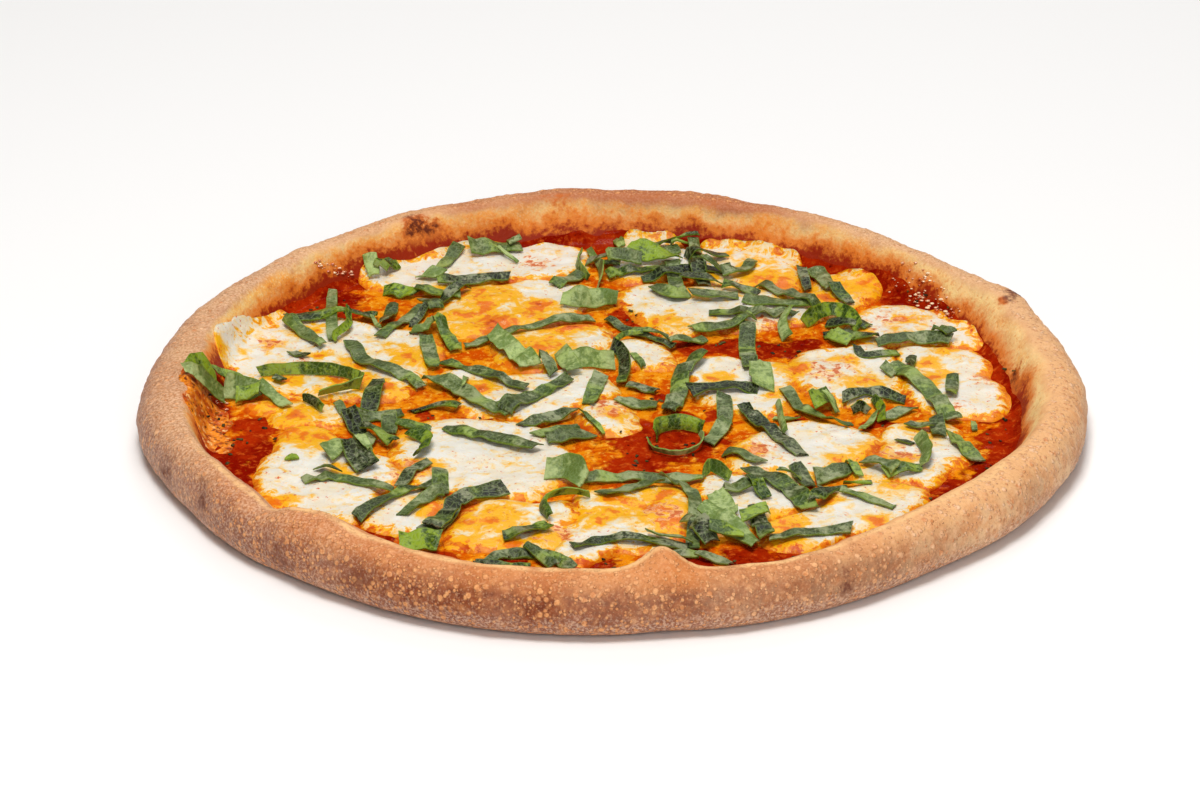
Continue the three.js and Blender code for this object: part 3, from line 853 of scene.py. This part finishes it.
SMALL_RIBBONS = [
    (6, "p", -97, 122, -95, 114, (20, 10)), (5, "d", -87, 125, -93, 116), (5, "m", -62, 141, -69, 122),
    (7, "p", -76, 112, -69, 118), (7, "m", -58, 138, -37, 143, (20, 0)),
    (6, "m", -41, 148, -39, 142, (10, 10)), (1.6, "p", -46, 138, -38, 130), (7, "b", -91, 104, -78, 100),
    (7, "d", -78, 104, -60, 96), (5, "d", -68, 90, -58, 103, (0, 20)), (6, "d", -75, 94, -69, 85),
    (5, "m", -86, 91, -89, 68), (3, "d", -73, 85, -78, 70), (1.6, "p", -94, 74, -90, 60),
    (3, "b", -108, 51, -103, 62, -103, 72, (60, 40)), (5, "d", -123, 41, -117, 36),
    (7, "p", -70, 72, -76, 58, (20, 0)), (5, "b", -68, 70, -60, 46, (10, 0)), (6, "m", -72, 54, -68, 29),
    (4.5, "b", -134, 20, -118, 23, -103, 20, -95, 13, -95, 7, -110, 3, (75, 60)),
    (5, "b", -159, -6, -155, 1, -149, 5, (55, 60)), (5.5, "p", -159, -8, -153, -8, -146, 0, (65, 50)),
    (5, "b", -150, 11, -143, 13, -136, 8, (30, 20)), (6, "p", -146, 5, -131, 8, (20, 10)),
    (5, "p", -133, 8, -121, -8, (15, 0)), (6, "b", -141, 1, -132, 2), (4, "d", -128, 17, -124, 14),
    (3.5, "d", -115, -1, -111, -5, -107, -11, (70, 60)), (1.6, "p", -55, 19, -56, 8),
    (8, "p", -17, 31, 1, 32, (60, 60)), (7, "p", -19, 38, -14, 20, (40, 20)),
    (5, "m", -26, 33, -22, 20, (30, 0)), (2.5, "b", 1, 52, 5, 57, 12, 58, (70, 60)),
    (2.5, "m", 8, 40, 12, 30), (6, "m", -4, 20, -9, -5), (5, "d", 6, 15, 17, 9), (7, "m", 2, 0, 17, -3),
    (6, "d", 29, 4, 45, 9, 55, 8, (15, 0)), (6, "m", 42, 3, 42, -18), (6, "m", 43, -18, 35, -36),
    (9, "p", 56, 24, 57, 8), (5, "m", 41, -43, 54, -56),
    (6, "b", 15, -33, 17, -25, 26, -22, 34, -26, (80, 70)),
    (2.6, "p", 33, -31, 33, -39, 24, -46, 15, -42, 13, -33, (70, 60)), (5, "d", -34, -24, -13, -10),
    (6, "m", -28, -34, -12, -22), (6, "m", -24, -38, -8, -27), (2, "b", -12, -12, -3, -29),
    (3, "m", 8, 62, 22, 58), (5, "m", 22, 51, 36, 58), (5, "m", 31, 63, 45, 66, 55, 73),
    (8, "p", -20, 88, -9, 89, 2, 93, (35, 45)), (3, "p", -9, 143, -4, 125, -5, 108, (40, 70)),
    (3.5, "b", -12, 137, -13, 126, -9, 116, (70, 80)), (3, "p", 5, 134, 10, 146, (20, 0)),
    (4, "p", 2, 153, 4, 145), (7, "m", 0, 136, 0, 125), (8, "m", 11, 138, 27, 141),
    (4, "b", 24, 143, 34, 147), (5, "m", 33, 147, 36, 120), (6, "m", -23, 106, -12, 120),
    (6, "m", 16, 103, 25, 94, 30, 98), (5, "d", 12, 112, 30, 118), (6, "d", 33, 125, 37, 107),
    (5, "m", 36, 123, 47, 118), (4, "m", 17, 146, 35, 148), (5, "m", 57, 130, 53, 120, 44, 114, (0, 20)),
    (6, "m", 31, 94, 50, 95), (4, "d", 76, 124, 78, 103), (5, "d", 88, 100, 94, 87),
    (5, "p", 71, 76, 67, 66, 68, 57, (60, 40)), (5, "b", 75, 70, 85, 80, 93, 75, 96, 62, (60, 40)),
    (6, "d", 82, 62, 103, 54), (7, "b", 85, 58, 92, 50), (7, "b", 74, -8, 82, 2, (30, 10)),
    (4, "p", 80, -2, 84, -10), (4, "p", 60, -14, 70, -15), (2.8, "p", 62, -5, 64, -33, (60, 50)),
    (4.5, "d", 86, -1, 97, 4, 110, 1, (20, 10)), (4, "b", 98, -1, 101, -9, 100, -18, (70, 40)),
    (5, "m", 100, -15, 112, -5), (3.5, "p", 92, -28, 98, -12), (4, "d", 89, -9, 93, -5, 96, -9, (70, 70)),
    (5, "m", 129, 18, 127, 0), (4, "d", 115, 36, 113, 27), (4, "m", 103, 27, 107, 20),
    (4, "d", 94, 46, 97, 38, 110, 40), (5, "m", 124, 60, 131, 51, (20, 0)),
    (5.5, "m", 120, -16, 120, -35), (6.5, "m", 125, -34, 133, -52), (4, "d", 109, -23, 119, -28),
    (2.5, "m", 134, -17, 134, -24), (2.5, "d", 104, -36, 110, -39),
    (5, "p", 113, -37, 115, -48, 113, -60, (50, 40)), (5, "b", 98, -65, 112, -60, (30, 0)),
    (5, "m", 91, -53, 102, -66), (5, "b", 32, -64, 36, -60, 43, -70, (80, 60)),
    (6, "m", -4, -82, 17, -70), (5, "m", 18, -69, 29, -80, 28, -120),
    (9, "p", -24, -66, -15, -66, -9, -74, (40, 35)),
    (4, "b", -8, -84, -18, -84, -24, -92, -21, -102, (60, 50)), (8, "d", -22, -106, -38, -114, (10, 0)),
    (4, "m", -47, -132, -35, -124, -22, -128, -13, -136), (4, "d", -47, -134, -28, -134),
    (4, "m", -30, -122, -20, -135), (5, "d", -14, -122, 0, -117, 27, -120), (4, "m", 12, -113, 28, -118),
    (4, "d", 20, -125, 30, -125), (4, "m", 30, -126, 41, -131), (8, "p", 37, -82, 42, -100, (10, 0)),
    (7, "m", 40, -80, 50, -73), (5, "d", 50, -72, 55, -84),
    (7, "p", 32, -96, 40, -105, 50, -119, (10, 0)), (6, "d", 50, -93, 54, -118),
    (8, "d", 30, -105, 35, -118), (6, "b", 45, -105, 55, -98), (4, "m", 25, -102, 28, -107),
    (6, "d", 66, -58, 71, -73), (7, "m", 73, -67, 86, -58), (3, "b", 85, -54, 89, -66),
    (6, "d", 74, -75, 84, -75), (5, "d", 79, -78, 71, -92), (4, "m", 82, -79, 100, -91),
    (4, "b", 83, -71, 93, -71), (4, "m", 60, -67, 68, -70), (3.5, "m", -103, -4, -97, -20),
    (6, "m", -96, -16, -78, -9), (6, "m", -83, -12, -82, -28), (6, "d", -98, -15, -92, -30),
    (5, "b", -80, -20, -67, -28), (5, "b", -74, -31, -67, -40, -70, -53, (20, 50)),
    (5, "m", -88, -30, -92, -45), (8, "p", -104, -52, -97, -40, (15, 0)), (10, "d", -95, -45, -88, -62),
    (4, "p", -93, -40, -88, -50, (30, 0)), (5, "d", -106, -60, -99, -64), (4, "b", -118, -52, -114, -52),
    (5, "d", -76, -73, -72, -62, -66, -56), (6, "m", -62, -62, -61, -82),
    (5, "m", -74, -97, -66, -85, -60, -82), (7, "d", -63, -108, -57, -95),
    (4, "d", -75, -8, -66, -3, -57, -7), (10, "b", -74, -121, -60, -118, (25, 25)),
    (9, "b", 6, 133, 27, 129, (20, 0)), (6, "d", -10, 132, 4, 134), (5, "m", -2, 127, 12, 127),
    (6, "d", 30, 132, 46, 135), (5, "d", 28, 112, 44, 108), (5, "d", 44, 104, 58, 98),
    (6, "d", 84, 72, 100, 66), (5, "b", 34, -112, 46, -116, (20, 0)), (5, "d", -92, -24, -80, -38),
]
# How much of its paler underside, and how much painted light glowing through the leaf, each side shows.
LEAF_SIDES = {"d": (0.0, 0.0), "m": (0.27, 0.0), "p": (0.75, 0.2), "b": (0.15, 1.0)}

# How high the pizza stands so far, by square cells of CELL millimetres. A ribbon is let down on it in
# SETTLING steps and sags by SAG in each.
settled = {}


def cell_of(x, y):
    return round(x / CELL), round(y / CELL)


def remember_top(place):
    key = cell_of(place.x, place.y)
    settled[key] = max(place.z, settled.get(key, 0))


def remember_tops(piece):
    """Notes how high a finished piece stands, cell by cell, for the leaves that fall on it."""
    for vert in piece.data.vertices:
        remember_top(vert.co / MM)


for laid_piece in [crust_piece, sauce_piece] + pool_pieces:
    remember_tops(laid_piece)


def smooth_line(places, share):
    """A point on a smooth line through the places."""
    spans = len(places) - 1
    at = min(share * spans, spans - 1e-6)
    index = int(at)
    t = at - index
    here, there = Vector(places[index]), Vector(places[index + 1])
    before = Vector(places[index - 1]) if index > 0 else 2 * here - there
    after = Vector(places[index + 2]) if index + 2 < len(places) else 2 * there - here
    return 0.5 * (
        2 * here + (there - before) * t + (2 * before - 5 * here + 4 * there - after) * t ** 2
        + (3 * here - before - 3 * there + after) * t ** 3
    )


def settled_lane(places, stations):
    """Heights of a limp strip over what lies under it, bridging hollows and sagging between its rests."""
    support = [settled.get(cell_of(*place), SAUCE_TOP) for place in places]
    heights = list(support)
    for _ in range(SETTLING):
        for i in range(1, stations):
            heights[i] = max(support[i], (heights[i - 1] + heights[i + 1]) / 2 - SAG)
    return heights


def either_way(width):
    """A random distance of up to half this width, one way or the other."""
    return width * noise.random() - width / 2


def basil_ribbon(row, seed):
    """One ribbon, bent along its places and settled on whatever is under it."""
    width, side, *rest = row
    lean_start, lean_end = rest.pop() if isinstance(rest[-1], tuple) else (0, 0)
    places = list(zip(rest[::2], rest[1::2]))
    stem = [smooth_line(places, i / STEM_PARTS) for i in range(STEM_PARTS + 1)]
    length = sum((b - a).length for a, b in zip(stem, stem[1:]))
    stations = max(6, round(length / STATION))
    line = [smooth_line(places, i / stations) for i in range(stations + 1)]
    across = []
    for i in range(stations + 1):
        along = line[min(i + 1, stations)] - line[max(i - 1, 0)]
        across.append(Vector((-along.y, along.x)).normalized())
    leans = [math.radians(lean_start + (lean_end - lean_start) * i / stations) for i in range(stations + 1)]
    lanes = []
    for aside in LANE_SHARES:
        spots = [line[i] + across[i] * width * aside * math.cos(leans[i]) for i in range(stations + 1)]
        lanes.append(settled_lane(spots, stations))
    left, middle, right = lanes
    crease_depth = CREASE_DEPTH + CREASE_DEPTH_BY_WIDTH * width
    creases = [crease_depth * noise.random() for _ in range(int(length / CREASE_SPACING) + 3)]
    arch = (noise.random() - 0.35) * ARCH_BY_WIDTH * width
    pinch = [LEAST_PINCH + PINCH_RANGE * noise.random() for _ in range(2)]
    slant = [either_way(SLANT_RANGE) for _ in range(2)]
    # Each facet between the creases gets a random painted shading, from painted shade to a grey-green
    # painted sheen.
    facet_shades_and_sheens = [noise.random() for _ in creases]
    bm = bmesh.new()
    bmesh.ops.create_cube(bm, size=1)
    long_edges = [e for e in bm.edges if abs(e.verts[0].co.x - e.verts[1].co.x) > 0.5]
    bmesh.ops.subdivide_edges(bm, edges=long_edges, cuts=stations - 1, use_grid_fill=True)
    cross_edges = [e for e in bm.edges if abs(e.verts[0].co.y - e.verts[1].co.y) > 0.5]
    bmesh.ops.subdivide_edges(bm, edges=cross_edges, cuts=LEAF_LANES - 1, use_grid_fill=True)
    layers = [bm.verts.layers.float.new(name) for name in LEAF_LAYERS]
    pale, painted_glow_share = LEAF_SIDES[side]
    pale = min(max(pale + PALE_RANGE * (noise.random() - 0.55), 0), 1)
    for vert in bm.verts:
        share, v, face = vert.co.x + 0.5, vert.co.y * 2, vert.co.z * 2
        i = min(round(share * stations), stations)
        lean = leans[i]
        from_end = min(share, 1 - share) * length
        end = 0 if share < 0.5 else 1
        taper = 1 - (1 - pinch[end]) * smooth_step(5, 0, from_end)
        half = width / 2 * taper * (1 + 0.1 * noise.noise(Vector((share * length / 5, seed, v))))
        crease_at = share * length / CREASE_SPACING + 0.15 * v
        low = max(int(crease_at), 0)
        part = crease_at - low
        crease = creases[low] * (1 - part) + creases[low + 1] * part
        support = max((left[i] * (1 - v) + right[i] * (1 + v)) / 2, middle[i] - 0.4 * abs(v) * width)
        lift = (v * math.sin(lean) + abs(math.sin(lean))) * half
        crinkle = CRINKLE * noise.noise(Vector((share * length / 1.8, v * width / 5, seed)))
        roll = ROLL_BY_WIDTH * width * v * noise.noise(Vector((share * length / 7, seed, 4.5)))
        rise = (crease + arch * (1 - v * v) + roll) * math.cos(lean)
        height = support + LEAF_GAP + lift + rise + crinkle
        bend = (crease * 0.8 + arch * (1 - v * v)) * math.sin(lean)
        along = Vector((across[i].y, -across[i].x)) * slant[end] * v * half * smooth_step(9, 0, from_end)
        spot = line[i] + along + across[i] * (v * half * math.cos(lean) - bend)
        thick = Vector((0, 0, math.cos(lean))) - Vector((*across[i], 0)) * math.sin(lean)
        vert.co = Vector((spot.x, spot.y, height)) + thick * face * LEAF / 2
        # Painted light glowing through the leaf, in patches along it and over all of a bright side.
        painted_glow = painted_glow_share + 0.7 * smooth_step(0.1, 0.45, noise.noise(Vector((share * length / 11, seed, 9.5))))
        values = (share * length, v * width / 2, pale, min(painted_glow, 1), facet_shades_and_sheens[low], abs(v))
        for layer, value in zip(layers, values):
            vert[layer] = value
    bmesh.ops.recalc_face_normals(bm, faces=bm.faces)
    for edge in bm.edges:
        edge.smooth = edge.calc_face_angle() < CRISP_CREASE
    if max(lean_start, lean_end) < STANDING_LEAN:
        for vert in bm.verts:
            remember_top(vert.co)
    return bm


def basil_finish():
    basil = new_finish("fresh_basil", 0.36, 0.26)
    tree = basil.node_tree
    on_leaf = put(
        tree, "ShaderNodeCombineXYZ", {"X": attribute(basil, "along"), "Y": attribute(basil, "across")}
    ).outputs[0]
    inputs = {"Vector": on_leaf, "Scale": 0.5}
    cells = put(tree, "ShaderNodeTexVoronoi", inputs, feature="DISTANCE_TO_EDGE").outputs["Distance"]
    mottle, fine_mottle = spots_of(basil, 3.5, 4, 0.6), spots_of(basil, 1.5, 4, 0.65)
    uneven = times(sum_of(sum_of(mottle, fine_mottle), -1.0), 2.2)
    # Painted shade and sheen on the facets: near black green where shaded and grey-green where the leaf
    # would shine.
    facet_shade_and_sheen = sum_of(attribute(basil, "facet_shade_and_sheen"), uneven)
    top = tint(between(facet_shade_and_sheen, -0.1, 0.5), (6, 8, 0), (38, 44, 10))
    top = coated(top, (facet_shade_and_sheen, 0.55, 1.15, (136, 138, 108)))
    # A brighter green where painted light glows through the leaf.
    painted_glow = tint(between(facet_shade_and_sheen, 0.1, 0.9), (40, 66, 0), (136, 162, 20))
    under = tint(between(facet_shade_and_sheen, 0.1, 0.9), (118, 142, 66), (180, 198, 126))
    body = tint(attribute(basil, "painted_glow_share"), top, painted_glow)
    body = tint(attribute(basil, "pale"), body, under)
    # The veins, and the cut edges, which let the light through and show a fresher green.
    body = coated(
        body,
        (cells, 0.1, 0.02, (140, 160, 104), 0.3),
        (attribute(basil, "cut"), 0.82, 1.0, (112, 138, 20), 0.6),
    )
    relief = bump(mottle, 0.5, bump(cells, 0.3))
    return cover(basil, body, bump(fine_mottle, 0.3, relief))


noise.seed_set(7)
basil = basil_finish()
for number, row in enumerate(RIBBONS, start=1):
    ribbon_bm = basil_ribbon(row, number)
    make_piece(ribbon_bm, f"leaf_ribbon_{number}", basil, [f"basil_ribbon_{number}"])

small_bm = bmesh.new()
for layer_name in LEAF_LAYERS:
    small_bm.verts.layers.float.new(layer_name)
for number, row in enumerate(SMALL_RIBBONS, start=len(RIBBONS) + 1):
    move_into(small_bm, basil_ribbon(row, number))
make_piece(small_bm, "small_leaf_ribbons", basil, [])

# ---- Herbs ----
# Dried oregano crumbled over the sauce, and charred crumbs of cheese by the western and north eastern
# rim. They are thin, dark, ragged flakes that lie on the sauce and the crust.
FLECK_SIZE = 0.8
FLECK_THICKNESS = 0.4
FLECK_RAGGEDNESS = 0.25
FLECK_GAP = 0.05
FLECK_SPREAD = 1.6
FLECKS_IN_A_WINDOW = 4
FLECK_CLIMB = 0.5
SAUCE_LUMPINESS = 1.6
CRUMB_PLACES = [
    (-154, -12), (-153, -9), (-151, -14), (-150, -17), (-147, -11), (-146, -15), (-144, -20), (-143, -27),
    (-137, -30), (-139, -36), (-152, -2), (-150, -4), (-148, 1), (-134, -33), (-120, -82), (-118, -86),
    (129, 92), (127, 88), (132, 80),
]


def fleck(bm, x, y):
    """One flake, if only sauce or crust lies there: none rests on cheese or a leaf, or high on the rim."""
    size = FLECK_SIZE * (0.6 + 0.9 * noise.random())
    turned = math.tau * noise.random()
    stretch = 1 + noise.random()
    lying = settled.get(cell_of(x, y), SAUCE_TOP)
    spot = Vector((x, y, 0))
    is_high = slope_share(bearing_of(spot), spot.length) < FLECK_CLIMB
    if is_high or lying > sauce_height(spot) + SAUCE_LUMPINESS:
        return
    made = bmesh.ops.create_cube(bm, size=1)["verts"]
    bmesh.ops.scale(bm, vec=(size * stretch, size, FLECK_THICKNESS), verts=made)
    for vert in made:
        vert.co += FLECK_RAGGEDNESS * noise.random_unit_vector()
    bmesh.ops.rotate(bm, matrix=Matrix.Rotation(turned, 3, "Z"), verts=made)
    bmesh.ops.translate(bm, vec=(x, y, lying + FLECK_GAP), verts=made)


def two_tone_finish(name, roughness, specular, size, first, second):
    """A finish of two colours in patches of this size."""
    finish = new_finish(name, roughness, specular)
    return cover(finish, tint(between(spots_of(finish, size, 2), 0.4, 0.6), first, second))


herb_bm = bmesh.new()
for x, y, size in RED_WINDOWS:
    for _ in range(FLECKS_IN_A_WINDOW):
        fleck(herb_bm, x + size * either_way(FLECK_SPREAD), y + size * either_way(FLECK_SPREAD))
for x, y in CRUMB_PLACES:
    fleck(herb_bm, x, y)
herb_finish = two_tone_finish("dried_oregano", 0.6, 0.2, 6, (38, 28, 8), (88, 80, 34))
make_piece(herb_bm, "herb_flecks", herb_finish, [])

# ---- Oil ----
# Beads of oil that stand on the sauce by the rim and catch the light; the pale patches of their colour are
# painted glints. Each run of them has its two ends and how many beads lie along it.
BEAD_RUNS = [
    (112, 108, 120, 99, 14), (120, 99, 128, 87, 44), (128, 87, 134, 73, 34), (-118, 107, -104, 115, 34),
    (-148, 1, -143, -4, 8),
]
BEAD_SCATTER = 5.0
SMALLEST_BEAD = 0.2
BEAD_RANGE = 0.6
BEAD_SHAPE = (1.5, 1, 0.6)
BEAD_LIFT = 0.2
bead_bm = bmesh.new()
for start_x, start_y, end_x, end_y, count in BEAD_RUNS:
    for _ in range(count):
        share = noise.random()
        aside = either_way(BEAD_SCATTER)
        size = SMALLEST_BEAD + BEAD_RANGE * noise.random() ** 2
        x = start_x + (end_x - start_x) * share + aside
        y = start_y + (end_y - start_y) * share + aside
        ground = sauce_height(Vector((x, y, 0)))
        made = bmesh.ops.create_uvsphere(bead_bm, u_segments=10, v_segments=6, radius=size)["verts"]
        bmesh.ops.scale(bead_bm, vec=BEAD_SHAPE, verts=made)
        bmesh.ops.translate(bead_bm, vec=(x, y, ground + BEAD_LIFT), verts=made)
# Orange oil, with pale patches that are painted glints.
bead_and_glint_finish = two_tone_finish("oil_beads", 0.08, 0.8, 5, (190, 84, 34), (250, 218, 176))
make_piece(bead_bm, "oil_beads", bead_and_glint_finish, [])

# ---- Studio ----
# A pale floor under soft studio light from above, in front and behind, and a camera in front of the
# pizza that looks down on it.
CAMERA_ELEVATION = 25.0
CAMERA_DISTANCE = 1500.0
TARGET_HEIGHT = 10.0
LENS = 120.15
CAMERA_SHIFT = (-0.01, 0.0025)
FLOOR_HALF_WIDTH = 6
AIR_LIGHT = 0.1

tilt = math.radians(CAMERA_ELEVATION)
camera_data = bpy.data.cameras.new("camera")
camera_data.lens = LENS
camera_data.shift_x, camera_data.shift_y = CAMERA_SHIFT
camera = new_object("camera", camera_data)
camera_height = TARGET_HEIGHT + CAMERA_DISTANCE * math.sin(tilt)
camera.location = Vector((0, -CAMERA_DISTANCE * math.cos(tilt), camera_height)) * MM
camera.rotation_euler = (math.radians(90) - tilt, 0, 0)
bpy.context.scene.camera = camera

floor_bm = bmesh.new()
bmesh.ops.create_grid(floor_bm, x_segments=1, y_segments=1, size=FLOOR_HALF_WIDTH)
floor_mesh = bpy.data.meshes.new("studio_floor")
floor_bm.to_mesh(floor_mesh)
floor_bm.free()
studio_floor = new_object("studio_floor", floor_mesh)
floor_finish = new_finish("studio_floor", 0.9, 0.1)
shader_of(floor_finish).inputs["Base Color"].default_value = colour(250, 249, 248)
floor_mesh.materials.append(floor_finish)

world = bpy.data.worlds.new("studio_air")
world.use_nodes = True
background = world.node_tree.nodes["Background"]
background.inputs["Color"].default_value = (1, 1, 1, 1)
background.inputs["Strength"].default_value = AIR_LIGHT
bpy.context.scene.world = world
bpy.context.scene.view_settings.view_transform = "Standard"


def softbox(name, place, width, power, warmth):
    """A square studio light that faces the pizza from a place in metres."""
    data = bpy.data.lights.new(name, "AREA")
    data.size = width
    data.energy = power
    data.color = warmth
    lamp = new_object(name, data)
    lamp.location = place
    lamp.rotation_euler = Vector(place).to_track_quat("Z", "Y").to_euler()


softbox("overhead_light", (0, 0, 2.2), 1.4, 12, (1, 1, 1))
softbox("key_light", (-0.15, -0.5, 1.7), 0.6, 18, (1, 0.985, 0.965))
softbox("fill_light", (0.3, -1.6, 0.9), 1.0, 10, (1, 0.99, 0.98))
softbox("back_light", (0.2, 1.3, 1.5), 0.7, 7, (1, 1, 1))
softbox("glint_light", (0.55, 1.3, 0.8), 0.2, 0.8, (1, 1, 1))
